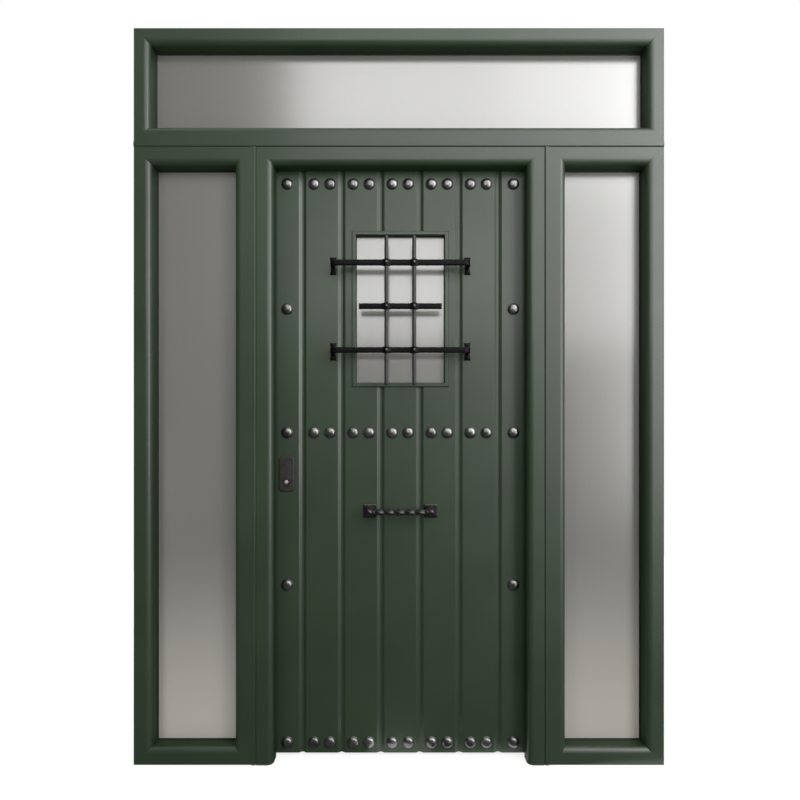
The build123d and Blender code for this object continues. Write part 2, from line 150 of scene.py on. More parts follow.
# %% [markdown]
# ## Satin powder coat
# The frame and the planks are aluminium with a dark green powder coat. The powder is baked on and flows
# into a film that is smooth to the hand but has a faint orange peel, with a satin gloss that blurs a lamp
# into a broad sheen, and its smooth skin draws a bright line along each rounded edge. A flat green would
# look like plastic, so the film gets a slow drift of tone, a gloss that varies a little, a peel, and a
# thin coat for the skin. Powder reaches the reveals badly, so the film there is thin and dull. The real
# peel is about 2 mm wide; it is drawn at 6 mm so that it shows.

# %% Make the powder coat
def satin_powder_coat():
    """Dark green film: slow tone drift, varying gloss, orange peel, soft edges and dull reveals."""
    material, tree, place = new_finish("satin_powder_coat_green")
    drift = add(tree, "TexNoise", {"Vector": place, "Scale": repeats(240), "Detail": 2.0})
    tone = add(tree, "ValToRGB", {"Fac": drift.outputs["Fac"]})
    cloudy = add(tree, "TexNoise", {"Vector": place, "Scale": repeats(90), "Detail": 3.0})
    rough = add(tree, "MapRange", {"Value": cloudy.outputs["Fac"], "To Min": 0.44, "To Max": 0.54})
    facing = add(tree, "SeparateXYZ", {0: add(tree, "TexCoord").outputs["Normal"]})
    outward = add(tree, "Math", {0: facing.outputs["Y"]}, operation="ABSOLUTE")
    reveal_to_face = {"Value": outward.outputs[0], "From Min": 0.1, "From Max": 0.5}
    gloss = add(tree, "MapRange", {**reveal_to_face, "To Min": 0.12, "To Max": 0.55})
    skin_weight = add(tree, "MapRange", {**reveal_to_face, "To Min": 0.0, "To Max": 0.32})
    edge = add(tree, "Bevel", {"Radius": 1.2 * MM}, samples=4)
    peel = add(tree, "TexNoise", {"Vector": place, "Scale": repeats(6), "Detail": 1.0})
    film = add(
        tree,
        "Bump",
        {
            "Height": peel.outputs["Fac"],
            "Normal": edge.outputs["Normal"],
            "Strength": 0.12,
            "Distance": 0.2 * MM,
        },
    )
    shader = add(
        tree,
        "BsdfPrincipled",
        {
            "Base Color": between(tone, (0.35, "#263623"), (0.65, "#2a3b27")),
            "Roughness": rough.outputs["Result"],
            "Normal": film.outputs["Normal"],
            "IOR": 1.5,
            "Specular IOR Level": gloss.outputs["Result"],
            "Coat Weight": skin_weight.outputs["Result"],
            "Coat Roughness": 0.18,
        },
    )
    add(tree, "OutputMaterial", {"Surface": shader.outputs["BSDF"]})
    return material


green_paint = satin_powder_coat()
print("made", green_paint.name)

# %% [markdown]
# ## Etched glass
# The panes are double glazing with an acid-etched face. Etching leaves a fine grain that scatters light,
# so the pane hides what is behind it and mirrors the room only as a wide blur. Clear glass with a frosted
# bump could do this, but it renders slowly and noisily. Behind the pane is a dim hall, so a grey body with
# two glossy faces gives the same eye: one gloss for the outer sheet and a coat for the sheet behind it.
# Low down the body colour is painted paler: painted light standing in for the lit floor of the hall that
# shines through. The etched grain is well under 1 mm and is drawn at 3 mm.

# %% Make the etched glass
def etched_glass():
    """Grey etched pane: fine grain in tone and gloss, painted light paler low down, two reflecting faces.
    """
    material, tree, place = new_finish("acid_etched_glass")
    grain = add(tree, "TexNoise", {"Vector": place, "Scale": repeats(3), "Detail": 3.0})
    height = add(tree, "SeparateXYZ", {0: place})
    # Painted light: the body colour grows paler towards the floor, standing in for the floor's light.
    painted_floor_light = add(
        tree,
        "MapRange",
        {"Value": height.outputs["Z"], "From Min": 0.0, "From Max": 0.85, "To Min": 1.0, "To Max": 0.0},
        interpolation_type="SMOOTHSTEP",
    )
    grain_and_floor_light = add(
        tree,
        "Math",
        {0: grain.outputs["Fac"], 1: 0.08, 2: painted_floor_light.outputs["Result"]},
        operation="MULTIPLY_ADD",
    )
    tone = add(tree, "ValToRGB", {"Fac": grain_and_floor_light.outputs[0]})
    rough = add(tree, "MapRange", {"Value": grain.outputs["Fac"], "To Min": 0.2, "To Max": 0.28})
    shader = add(
        tree,
        "BsdfPrincipled",
        {
            "Base Color": between(tone, (0.0, "#767570"), (1.0, "#c4c1b8")),
            "Roughness": rough.outputs["Result"],
            "IOR": 1.52,
            "Specular IOR Level": 1.0,
            "Coat Weight": 1.0,
            "Coat Roughness": 0.2,
            "Coat IOR": 2.0,
        },
    )
    add(tree, "OutputMaterial", {"Surface": shader.outputs["BSDF"]})
    return material


frosted_glass = etched_glass()
print("made", frosted_glass.name)

# %% [markdown]
# ## Iron and steel
# The grille and the pull are forged iron blackened with wax: nearly black, with hammer marks of about
# 8 mm and a soft gloss. The grille's round uprights are painted a paler grey than its bars, a painted
# sheen for the light their round sides catch. Hands have polished the pull, and the studs are burnished
# until the metal shows.
# The lock is bronzed steel with a nickel plug, and the hinges and edge plates are zinc-plated. They are
# one kind of surface with other numbers, so one function makes them all.

# %% Make the metals
def worked_metal(name, dark, light, metallic, gloss, mark_mm, mark_depth_mm, shine=0.5, edge_mm=0.5):
    """Metal with marks of one size: tones and glosses by a noise, dents by a cell pattern, soft edges."""
    material, tree, place = new_finish(name)
    patina = add(tree, "TexNoise", {"Vector": place, "Scale": repeats(4 * mark_mm), "Detail": 4.0})
    tone = add(tree, "ValToRGB", {"Fac": patina.outputs["Fac"]})
    rough = add(
        tree, "MapRange", {"Value": patina.outputs["Fac"], "To Min": gloss[0], "To Max": gloss[1]}
    )
    marks = add(
        tree, "TexVoronoi", {"Vector": place, "Scale": repeats(mark_mm)}, feature="SMOOTH_F1"
    )
    edge = add(tree, "Bevel", {"Radius": edge_mm * MM}, samples=4)
    dents = add(
        tree,
        "Bump",
        {
            "Height": marks.outputs["Distance"],
            "Normal": edge.outputs["Normal"],
            "Strength": 0.5,
            "Distance": mark_depth_mm * MM,
        },
    )
    shader = add(
        tree,
        "BsdfPrincipled",
        {
            "Base Color": between(tone, (0.35, dark), (0.65, light)),
            "Metallic": metallic,
            "Specular IOR Level": shine,
            "Roughness": rough.outputs["Result"],
            "Normal": dents.outputs["Normal"],
        },
    )
    add(tree, "OutputMaterial", {"Surface": shader.outputs["BSDF"]})
    return material


black_iron = worked_metal("waxed_black_iron", "#090808", "#100e0e", 0.0, (0.36, 0.5), 8, 1.0, 0.1)
# The uprights' paler grey is a painted sheen: the bars' iron, made lighter for the light round bars catch.
upright_iron_painted_sheen = worked_metal("round_iron_painted_sheen", "#232221", "#2e2d2c", 0.0, (0.4, 0.5), 8, 0.6, 0.5)
pull_iron = worked_metal("hand_polished_iron", "#0d0b0b", "#161413", 0.0, (0.2, 0.28), 8, 0.5, 0.8)
stud_iron = worked_metal("burnished_iron", "#6c6c6b", "#949493", 1.0, (0.26, 0.36), 9, 0.4)
bronzed_steel = worked_metal("bronzed_steel", "#2c2827", "#393433", 0.2, (0.36, 0.46), 6, 0.2, 0.7, 2.5)
zinc_steel = worked_metal("zinc_plated_steel", "#8d8f90", "#a3a5a6", 1.0, (0.3, 0.42), 3, 0.05)
nickel = worked_metal("satin_nickel", "#a5a2a0", "#b9b6b3", 0.4, (0.45, 0.55), 3, 0.03)
metals = (black_iron, upright_iron_painted_sheen, pull_iron, stud_iron, bronzed_steel, zinc_steel, nickel)
print("made", [metal.name for metal in metals])

# %% [markdown]
# ## Rubber
# The glazing gaskets and the door seal are black EPDM rubber: extruded, dull, with a dusty bloom in soft
# patches of about 30 mm.

# %% Make the rubber
def seal_rubber():
    """Dull black rubber with a pale bloom in slow patches."""
    material, tree, place = new_finish("black_epdm_rubber")
    bloom = add(tree, "TexNoise", {"Vector": place, "Scale": repeats(30), "Detail": 3.0})
    tone = add(tree, "ValToRGB", {"Fac": bloom.outputs["Fac"]})
    shader = add(
        tree,
        "BsdfPrincipled",
        {"Base Color": between(tone, (0.4, "#0e0e0e"), (0.75, "#1b1b1a")), "Roughness": 0.72},
    )
    add(tree, "OutputMaterial", {"Surface": shader.outputs["BSDF"]})
    return material


rubber = seal_rubber()
print("made", rubber.name)

# %% [markdown]
# ## Finish the pieces that keep their shape
# The frame members, planks, mouldings, beads, panes, plates and hinges have the right shape already. They
# only need their finish, which goes into their material slot.

# %% Give each carried-over piece its finish
def finish_for(node):
    """Choose the finish of a piece by its name."""
    if node.endswith("glass"):
        return frosted_glass
    if node.startswith("grille"):
        return black_iron
    if node.startswith("pull"):
        return pull_iron
    if node.endswith("flaps") or node in ("strike_plate", "lock_edge_plate"):
        return zinc_steel
    if node in ("lock_outside_plate", "lock_inside_plate", "lock_cylinder", "inside_lever"):
        return bronzed_steel
    return stud_iron if node == "studs" else green_paint


for node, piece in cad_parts.items():
    piece.data.materials.clear()
    piece.data.materials.append(finish_for(node))
print("finished", len(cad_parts), "carried-over pieces")

# %% [markdown]
# ## Surfaces from arrays
# A new piece is a grid of points: rows along it, columns round it. Blender only needs to know which four
# points make each face, and that is the same pattern for every grid. Two forms cover all the ironwork
# and rubber here: a lathe form, where rings of any outline are stacked on an axis, and a sweep, where a
# closed profile is carried along a path. Both are worked out as whole arrays.

# %% Grid, lathe and sweep
import bmesh


def grid_faces(rows, columns, wrap_rows=False, wrap_columns=True):
    """Quads between neighbouring points of a grid, which may close on itself either way."""
    row, column = np.meshgrid(
        np.arange(rows if wrap_rows else rows - 1),
        np.arange(columns if wrap_columns else columns - 1),
        indexing="ij",
    )
    next_row, next_column = (row + 1) % rows, (column + 1) % columns
    corners = [
        row * columns + column,
        row * columns + next_column,
        next_row * columns + next_column,
        next_row * columns + column,
    ]
    return np.stack(corners, axis=-1).reshape(-1, 4)


def skin(points, quads, *caps):
    """A skin as arrays: points, the corners of all faces in a row, and the corner count of each face."""
    corners = np.concatenate([quads.ravel(), *caps])
    counts = np.array([4] * len(quads) + [len(cap) for cap in caps])
    return points.reshape(-1, 3), corners, counts


def capped(points):
    """A closed skin over a grid of rings: quads along it and one face over each end ring."""
    rows, columns = points.shape[:2]
    ring = np.arange(columns)
    return skin(points, grid_faces(rows, columns), ring[::-1], ring + (rows - 1) * columns)


def lathe(radii, heights, outline):
    """Rings on the Z axis: point = (radius * outline * cos, radius * outline * sin, height) by angle."""
    angle = np.linspace(0, 2 * np.pi, len(outline), endpoint=False)
    reach = np.asarray(radii)[:, None] * outline[None, :]
    level = np.broadcast_to(np.asarray(heights)[:, None], reach.shape)
    return np.stack([reach * np.cos(angle), reach * np.sin(angle), level], axis=-1)


def sweep(path, across, upward, wide, high):
    """Profile along a path: point = path + wide * across + high * upward, for each station and corner."""
    return path[:, None, :] + wide[..., None] * across[:, None, :] + high[..., None] * upward[:, None, :]


def round_outline(sides):
    """Outline of a circle: the same reach at every angle."""
    return np.ones(sides)


def square_outline(sides, sharpness):
    """Outline of a superellipse: 1 / (|cos|^n + |sin|^n)^(1/n), a soft square when n is large."""
    angle = np.linspace(0, 2 * np.pi, sides, endpoint=False)
    return (np.abs(np.cos(angle)) ** sharpness + np.abs(np.sin(angle)) ** sharpness) ** (-1 / sharpness)


def facing_out(points):
    """Turn a form that stands on the XY plane so that its Z axis points out of the door, along -Y."""
    return np.stack([points[..., 0], -points[..., 2], points[..., 1]], axis=-1)


print("a ring grid of 3 by 8 points has", len(grid_faces(3, 8)), "faces and two end caps")

# %% [markdown]
# ## From arrays to a piece
# Blender takes the arrays whole: all points, then all face corners, then where each face starts. Its own
# tool turns the faces of every closed skin outward. A piece of the door then rides on the frame or the
# leaf, and a piece of the studio is kept apart from the door.

# %% Mesh and piece makers
def new_object(name, skins, finish):
    """One object out of skins: the corners of each skin count on from the points before it."""
    before = np.cumsum([0] + [len(points) for points, corners, counts in skins])
    points = np.concatenate([points for points, corners, counts in skins])
    corners = np.concatenate([corners + start for (_, corners, _), start in zip(skins, before)])
    counts = np.concatenate([counts for points, corners, counts in skins])
    mesh = bpy.data.meshes.new(name)
    mesh.vertices.add(len(points))
    mesh.vertices.foreach_set("co", points.ravel().astype(np.float32))
    mesh.loops.add(len(corners))
    mesh.loops.foreach_set("vertex_index", corners.astype(np.int32))
    mesh.polygons.add(len(counts))
    mesh.polygons.foreach_set("loop_start", (np.cumsum(counts) - counts).astype(np.int32))
    mesh.update(calc_edges=True)
    mesh.materials.append(finish)
    new = bpy.data.objects.new(name, mesh)
    bpy.context.scene.collection.objects.link(new)
    return new


def make_piece(name, skins, finish, body, smooth_degrees=40):
    """A piece of the door: closed skins with outward faces, smooth up to an angle, riding on a body."""
    piece = new_object(name, skins, finish)
    work = bmesh.new()
    work.from_mesh(piece.data)
    bmesh.ops.recalc_face_normals(work, faces=work.faces)
    work.to_mesh(piece.data)
    work.free()
    faces = len(piece.data.polygons)
    piece.data.polygons.foreach_set("use_smooth", np.ones(faces, dtype=bool))
    piece.data.set_sharp_from_angle(angle=math.radians(smooth_degrees))
    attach(piece, body)
    print("made", name, "with", faces, "faces")
    return piece


def make_stage(name, skins, finish):
    """A piece of the studio, which is no part of the door."""
    piece = new_object(name, skins, finish)
    piece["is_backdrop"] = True
    return piece


print("ready to make pieces")

# %% [markdown]
# ## Domed studs
# Forty hand-forged studs hold the look of the door. Each is a dome on a thin rim, and no two are quite
# alike, because the hammer left its own dents. A sphere would be too perfect, so the dome is a lathe form
# whose reach wavers with the angle, with phases that differ from stud to stud.

# %% Forge the studs
stud_low, stud_high = span("studs")
stud_radius = 21.5 * MM
stud_rise = leaf_front - stud_low[1]
pair_spacing = 59 * MM
middle_row_over_lock = 153 * MM
lower_edge_stud = 630 * MM
dents = np.random.default_rng(11)

joints_x = [span(f"plank_{number}")[0][0] for number in range(2, 8)]
plank_x = [(a + b) / 2 for a, b in zip(joints_x, joints_x[1:])]
pair_x = [x + side * pair_spacing / 2 for x in plank_x for side in (-1, 1)]
edge_x = [stud_low[0] + stud_radius, stud_high[0] - stud_radius]
rows_z = [stud_low[2] + stud_radius, lock_z + middle_row_over_lock, stud_high[2] - stud_radius]
stud_places = [(x, z) for z in rows_z for x in [*edge_x, *pair_x]]
stud_places += [(x, z) for z in (window_z, lower_edge_stud) for x in edge_x]


def forged_dome(radius, rise, sides=28, rings=9, waver=0.02):
    """Rim and dome: reach = radius * cos(t), height = rim + (rise - rim) * sin(t), wavering by angle."""
    rim = 0.14 * rise
    t = np.linspace(0, 0.47 * np.pi, rings)
    radii = np.concatenate([[radius, radius * 0.985], radius * 0.95 * np.cos(t)])
    heights = np.concatenate([[0, rim * 0.8], rim + (rise - rim) * np.sin(t)])
    angle = np.linspace(0, 2 * np.pi, sides, endpoint=False)
    phase = dents.uniform(0, 2 * np.pi, 3)
    outline = 1 - waver * (1 + np.sin(2 * angle + phase[0]) + np.sin(3 * angle + phase[1])) / 3
    form = lathe(radii, heights, outline)
    form[..., 2] *= 1 - waver * (1 + np.sin(form[..., 0] * 90 + phase[2])) / 2
    return form


stud_skins = [
    capped(facing_out(forged_dome(stud_radius, stud_rise)) + np.array([x, leaf_front, z]))
    for x, z in stud_places
]
studs = make_piece("forged_studs", stud_skins, stud_iron, "leaf", 60)
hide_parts("studs")

# %% [markdown]
# ## Grille bars
# A long bar is one length of square iron, bent back at both ends to its feet, and swollen round the eyes
# where the uprights pass. A heading that turns evenly along the bar gives straight runs and true bends in
# one formula, and the profile grows near each eye. The middle bar is the same without the bends.

# %% Forge the level bars
bar_half_height = 10 * MM
bar_half_depth = 7 * MM
bar_bend = 14 * MM
bar_dents = 0.05
foot_half_flare = 13 * MM
eye_growth_high = 3.5 * MM
eye_growth_deep = 6.5 * MM
eye_reach = 10 * MM
hammer_waves = (310, 470, 190)
upright_low, upright_high = span("grille_uprights")
upright_radius = (upright_high[1] - upright_low[1]) / 2
upright_x = [upright_low[0] + upright_radius, upright_high[0] - upright_radius]
grille_y = (upright_low[1] + upright_high[1]) / 2


def walk(stops, headings, steps):
    """Path with a heading in degrees that changes evenly between stops: the running sum of its steps."""
    distance = np.linspace(0, stops[-1], steps)
    heading = np.radians(np.interp(distance, stops, headings))
    stride = np.diff(distance)
    mid = (heading[1:] + heading[:-1]) / 2
    along = np.concatenate([[0], np.cumsum(stride * np.cos(mid))])
    outward = np.concatenate([[0], np.cumsum(stride * np.sin(mid))])
    return along, outward, heading


def hammered(along, angle, seed, depth):
    """Shallow dents: a sum of three waves round and along the bar, with phases from the seed."""
    phase = np.random.default_rng(seed).uniform(0, 2 * np.pi, 3)
    waves = np.sin(along[:, None] * hammer_waves[0] + 2 * angle + phase[0])
    waves = waves + np.sin(along[:, None] * hammer_waves[1] - 3 * angle + phase[1])
    waves = waves + np.sin(along[:, None] * hammer_waves[2] + angle + phase[2])
    return depth * waves / 3


def level_bar(node, on_feet, seed, steps=260, sides=24):
    """Square bar: superellipse profile along a straight or bent path, swollen at each eye by a bell."""
    low, high = span(node)
    level = (low[2] + high[2]) / 2
    if on_feet:
        length = high[0] - low[0] - 2 * foot_half_flare
        reach = leaf_front - grille_y
        turn = bar_bend * math.pi / 2
        runs = [reach - bar_bend, turn, length - 2 * bar_bend, turn, reach - bar_bend]
        along, outward, heading = walk(np.cumsum([0, *runs]), [90, 90, 0, 0, -90, -90], steps)
        x = low[0] + foot_half_flare + along
        path = np.stack([x, leaf_front - outward, np.full(steps, level)], axis=-1)
    else:
        along, heading = np.linspace(0, high[0] - low[0], steps), np.zeros(steps)
        path = np.stack([low[0] + along, np.full(steps, grille_y), np.full(steps, level)], axis=-1)
    across = np.stack([np.sin(heading), np.cos(heading), np.zeros(steps)], axis=-1)
    upward = np.broadcast_to(np.array([0.0, 0.0, 1.0]), (steps, 3))
    angle = np.linspace(0, 2 * np.pi, sides, endpoint=False)
    reach_at = square_outline(sides, 6)[None, :] * (1 + hammered(along, angle, seed, bar_dents))
    bell = sum(np.exp(-(((path[:, 0] - x) / eye_reach) ** 2)) for x in upright_x)
    bell = np.where(np.abs(np.sin(heading)) < 0.5, bell, 0)[:, None]
    wide = (bar_half_depth + eye_growth_deep * bell) * np.cos(angle) * reach_at
    high_at = (bar_half_height + eye_growth_high * bell) * np.sin(angle) * reach_at
    return capped(sweep(path, across, upward, wide, high_at))


print("uprights at", [round(float(x), 3) for x in upright_x])

# %% [markdown]
# ## Grille feet and rivets
# The smith splays each bar end into a fishtail foot, waisted in the middle, and nails it to the planks.
# The foot is a low cushion over a waisted outline: its width is the waist plus a flare with the square of
# the height. Rivets close the eyes in front.

# %% Forge the feet and rivets, and join them to the bars
foot_half_height = 32 * MM
foot_half_waist = 8 * MM
foot_thickness = 5 * MM
rivet_radius = 4.5 * MM
rivet_rise = 3.5 * MM
rivet_sink = 1 * MM
nail_radius = 4 * MM
nail_rise = 3 * MM
nail_seat = 4 * MM
nail_share = 0.74


def fishtail_foot(x, z, rows=22, columns=16):
    """Waisted plate: half width = waist + (flare - waist) * t^2, with a cushion for its thickness."""
    t = np.linspace(-1, 1, rows)[:, None]
    half_width = foot_half_waist + (foot_half_flare - foot_half_waist) * t**2
    turn = np.linspace(0, np.pi, columns)[None, :]
    wide = half_width * np.cos(turn)
    proud = foot_thickness * np.sin(turn) ** 0.35 * (1 - 0.5 * np.abs(t) ** 9)
    level = np.broadcast_to(foot_half_height * t, wide.shape)
    return capped(np.stack([x + wide, leaf_front - proud, z + level], axis=-1))


def round_head(x, y, z, radius, rise, sides=20):
    """Domed head on a surface that faces out: a quarter ellipse turned round the -Y axis."""
    t = np.linspace(0, 0.49 * np.pi, 6)
    form = lathe(radius * np.cos(t), rise * np.sin(t), round_outline(sides))
    return capped(facing_out(form) + np.array([x, y, z]))


eye_front = grille_y - bar_half_depth - eye_growth_deep
bar_pieces = {"grille_top_bar": True, "grille_middle_bar": False, "grille_bottom_bar": True}
for seed, (node, on_feet) in enumerate(bar_pieces.items()):
    low, high = span(node)
    level = (low[2] + high[2]) / 2
    skins = [level_bar(node, on_feet, seed)]
    if on_feet:
        for foot_x in (low[0] + foot_half_flare, high[0] - foot_half_flare):
            skins.append(fishtail_foot(foot_x, level))
            for side in (-1, 1):
                nail_z = level + side * nail_share * foot_half_height
                skins.append(round_head(foot_x, leaf_front - nail_seat, nail_z, nail_radius, nail_rise))
    bar = make_piece(f"forged_{node}", skins, black_iron, "leaf")
    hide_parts(node)

rivet_places = [(x, centre(node)[2]) for node in bar_pieces for x in upright_x]
rivet_y = eye_front + rivet_sink
rivet_skins = [round_head(x, rivet_y, z, rivet_radius, rivet_rise) for x, z in rivet_places]
make_piece("grille_rivets", rivet_skins, stud_iron, "leaf")

# %% [markdown]
# ## Grille uprights
# Two round bars pass through the eyes. Each is a lathe form with hammered sides and dressed, rounded ends.
# In the photograph they end level with the top of the pane, so the smith's trim is taken off here.

# %% Forge the uprights
upright_trim = 27 * MM
upright_swell = 1.06
upright_end = 5 * MM
end_share = 0.45
upright_dents = 0.03


def upright(x, seed, rows=120, sides=20):
    """Round bar: radius tapered to a rounded end by a quarter ellipse, wavering with the hammer marks."""
    length = upright_high[2] - upright_low[2] - upright_trim
    along = np.linspace(0, 1, rows)
    end = np.clip(np.minimum(along, 1 - along) * length / upright_end, 0, 1)
    rounding = end_share + (1 - end_share) * np.sqrt(1 - (1 - end) ** 2)
    radii = upright_swell * upright_radius * rounding
    form = lathe(radii, upright_low[2] + along * length, round_outline(sides))
    angle = np.linspace(0, 2 * np.pi, sides, endpoint=False)
    dented = 1 - upright_dents + hammered(along * length, angle, seed, upright_dents)
    form[..., :2] *= dented[..., None]
    return capped(form + np.array([x, grille_y, 0]))


upright_skins = [upright(x, 20 + number) for number, x in enumerate(upright_x)]
# The uprights wear the paler iron, whose grey is a painted sheen.
uprights = make_piece("forged_uprights", upright_skins, upright_iron_painted_sheen, "leaf")
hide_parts("grille_uprights")

# %% [markdown]
# ## Twisted pull
# The pull is a square bar that was heated and twisted, so its corners run round it like a screw. Turning
# the profile by an angle that grows along the bar gives just that.

# %% Twist the bar
pull_twist_degrees = 450
pull_bar_low, pull_bar_high = span("pull_bar")
pull_y = (pull_bar_low[1] + pull_bar_high[1]) / 2
pull_z = (pull_bar_low[2] + pull_bar_high[2]) / 2
pull_half_side = 9 * MM


def twisted_bar(steps=220, sides=40):
    """Square profile turned by the twist * share along X: its corners trace four screws."""
    share = np.linspace(0, 1, steps)
    turn = np.radians(pull_twist_degrees) * share[:, None]
    angle = np.linspace(0, 2 * np.pi, sides, endpoint=False)[None, :]
    reach = pull_half_side * square_outline(sides, 7)[None, :]
    x = pull_bar_low[0] + share * (pull_bar_high[0] - pull_bar_low[0])
    x = np.broadcast_to(x[:, None], (steps, sides))
    y = pull_y + reach * np.cos(angle + turn)
    z = pull_z + reach * np.sin(angle + turn)
    return capped(np.stack([x, y, z], axis=-1))


pull_bar = make_piece("twisted_pull_bar", [twisted_bar()], pull_iron, "leaf", 30)
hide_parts("pull_bar")

# %% [markdown]
# ## Pull brackets
# Each end of the pull sits in a bracket: a square plate with a cushioned face, a turned post that necks in
# and swells to a ball, and a collar of two beads that grips the bar. All three are stacks of rings, so the
# lathe form makes them, with a square outline for the plate.

# %% Forge the brackets of the pull
bracket_low, bracket_high = span("pull_brackets")
plate_half = 25 * MM
plate_thickness = 5 * MM
ball_radius = 15.5 * MM
collar_radius = 13.2 * MM


def pull_bracket(side):
    """Cushion plate, post of circular sections that necks in and swells to a ball, and a beaded collar."""
    post_x = bracket_low[0] + plate_half if side < 0 else bracket_high[0] - plate_half
    foot = np.array([post_x, leaf_front, pull_z])
    plate_radii = np.array([1.0, 1.0, 0.97, 0.9, 0.5, 0.05]) * plate_half
    plate_heights = np.array([0, 0.55, 0.85, 1.0, 1.06, 1.08]) * plate_thickness
    plate = lathe(plate_radii, plate_heights, square_outline(64, 14))
    reach = leaf_front - pull_y
    t = np.linspace(-0.3 * np.pi, 0.49 * np.pi, 14)
    radii = [18 * MM, 17.5 * MM, 13 * MM, 11 * MM, *(ball_radius * np.cos(t))]
    heights = [4 * MM, 7 * MM, 11 * MM, 20 * MM, *(reach + ball_radius * np.sin(t))]
    post = lathe(radii, heights, round_outline(36))
    ring = np.array([0.8, 0.95, 1.0, 0.95, 0.84, 0.84, 0.95, 1.0, 0.95, 0.6]) * collar_radius
    run = np.array([8, 9.5, 11, 12.5, 13.5, 14.5, 16, 17.5, 19, 20]) * MM
    collar = lathe(ring, run, round_outline(32))
    collar = np.stack([-side * collar[..., 2], collar[..., 0], collar[..., 1]], axis=-1)
    collar = collar + np.array([post_x, pull_y, pull_z])
    return [capped(facing_out(plate) + foot), capped(facing_out(post) + foot), capped(collar)]


brackets = make_piece(
    "forged_pull_brackets", pull_bracket(-1) + pull_bracket(1), pull_iron, "leaf"
)
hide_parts("pull_brackets")

# %% [markdown]
# ## Inside lever
# Nothing of the inside shows in a view from the street, but the door opens. The lever is one bent length
# of oval section: a heading that turns from straight out of the door to along it, and a section that
# flattens towards the grip.

# %% Bend the lever
lever_low, lever_high = span("inside_lever")
lever_bend = 14 * MM
grip_setback = 7.7 * MM
section_at = (0, 0.4, 1)
half_depths = np.array([8.5, 7.5, 6.0]) * MM
half_heights = np.array([8.5, 9.0, 10.0]) * MM
round_end_share = 0.06


def bent_lever(steps=90, sides=28):
    """Oval section along a quarter bend: its half height and half depth change evenly to a round end."""
    grip_y = lever_high[1] - grip_setback
    reach = grip_y - lever_low[1]
    length = lever_high[0] - lock_x
    turn = lever_bend * math.pi / 2
    runs = [reach - lever_bend, turn, length - lever_bend]
    along, outward, heading = walk(np.cumsum([0, *runs]), [90, 90, 0, 0], steps)
    level = (lever_low[2] + lever_high[2]) / 2
    path = np.stack([lock_x + along, lever_low[1] + outward, np.full(steps, level)], axis=-1)
    across = np.stack([-np.sin(heading), np.cos(heading), np.zeros(steps)], axis=-1)
    upward = np.broadcast_to(np.array([0.0, 0.0, 1.0]), (steps, 3))
    share = np.linspace(0, 1, steps)
    past_straight = np.clip((share - 1 + round_end_share) / round_end_share, 0, 0.985)
    end = np.sqrt(1 - past_straight**2)
    angle = np.linspace(0, 2 * np.pi, sides, endpoint=False)[None, :]
    wide = (np.interp(share, section_at, half_depths) * end)[:, None] * np.cos(angle)
    high = (np.interp(share, section_at, half_heights) * end)[:, None] * np.sin(angle)
    return capped(sweep(path, across, upward, wide, high))


lever = make_piece("bent_lever", [bent_lever()], bronzed_steel, "leaf")
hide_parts("inside_lever")

# %% [markdown]
# ## Gaskets
# A thin rubber lip closes the gap between the glass and what holds it, on both sides. It shows as a dark
# line round each pane. A profile carried round a rectangle with mitred corners makes the lip: each corner
# of the profile moves inwards along both sides at once.

# %% Fit the glazing gaskets
light_lip = 4 * MM
window_lip = 1.2 * MM
lip_depth = 3.5 * MM


def rectangle_strip(x0, x1, z0, z1, inset, depth):
    """Profile round a rectangle: point = corner + inset towards the middle both ways, at its own depth."""
    corner = np.array([[x0, z0], [x1, z0], [x1, z1], [x0, z1]])
    inward = np.array([[1, 1], [-1, 1], [-1, -1], [1, -1]])
    flat = corner[:, None, :] + np.asarray(inset)[None, :, None] * inward[:, None, :]
    y = np.broadcast_to(np.asarray(depth)[None, :], flat.shape[:2])
    points = np.stack([flat[..., 0], y, flat[..., 1]], axis=-1)
    return skin(points, grid_faces(4, len(inset), wrap_rows=True))


def gasket_skins(sight, glass_node, lip_width):
    """A rounded lip against the outer face of a pane and one against its inner face."""
    low, high = span(glass_node)
    inset = np.array([0.0, 0.55, 0.9, 1.0, 0.0]) * lip_width
    out = np.array([1.0, 0.95, 0.6, 0.0, 0.0]) * lip_depth
    return [rectangle_strip(*sight, inset, low[1] - out), rectangle_strip(*sight, inset, high[1] + out)]


for light in ("top_light", "left_light", "right_light"):
    sight = (
        span(f"{light}_left_stile")[1][0],
        span(f"{light}_right_stile")[0][0],
        span(f"{light}_sill")[1][2],
        span(f"{light}_head")[0][2],
    )
    skins = gasket_skins(sight, f"{light}_glass", light_lip)
    make_piece(f"{light}_gaskets", skins, rubber, "frame", 50)

moulding_width = 15.5 * MM
window_low, window_high = span("window_outside_moulding")
window_sight = (
    window_low[0] + moulding_width,
    window_high[0] - moulding_width,
    window_low[2] + moulding_width,
    window_high[2] - moulding_width,
)
skins = gasket_skins(window_sight, "window_glass", window_lip)
make_piece("window_gaskets", skins, rubber, "leaf", 50)

# %% [markdown]
# ## Door seal
# The leaf closes against a rubber bulb in the frame's stop. It fills the 5 mm between stop and leaf, and
# shows when the door stands open. It is a D-shaped profile carried up one jamb, along the head and down.

# %% Fit the door seal
seal_from_sight = 5 * MM
seal_width = 9 * MM
seal_depth = 4.4 * MM
stop_depth = 55 * MM
stop_y = frame_front + stop_depth


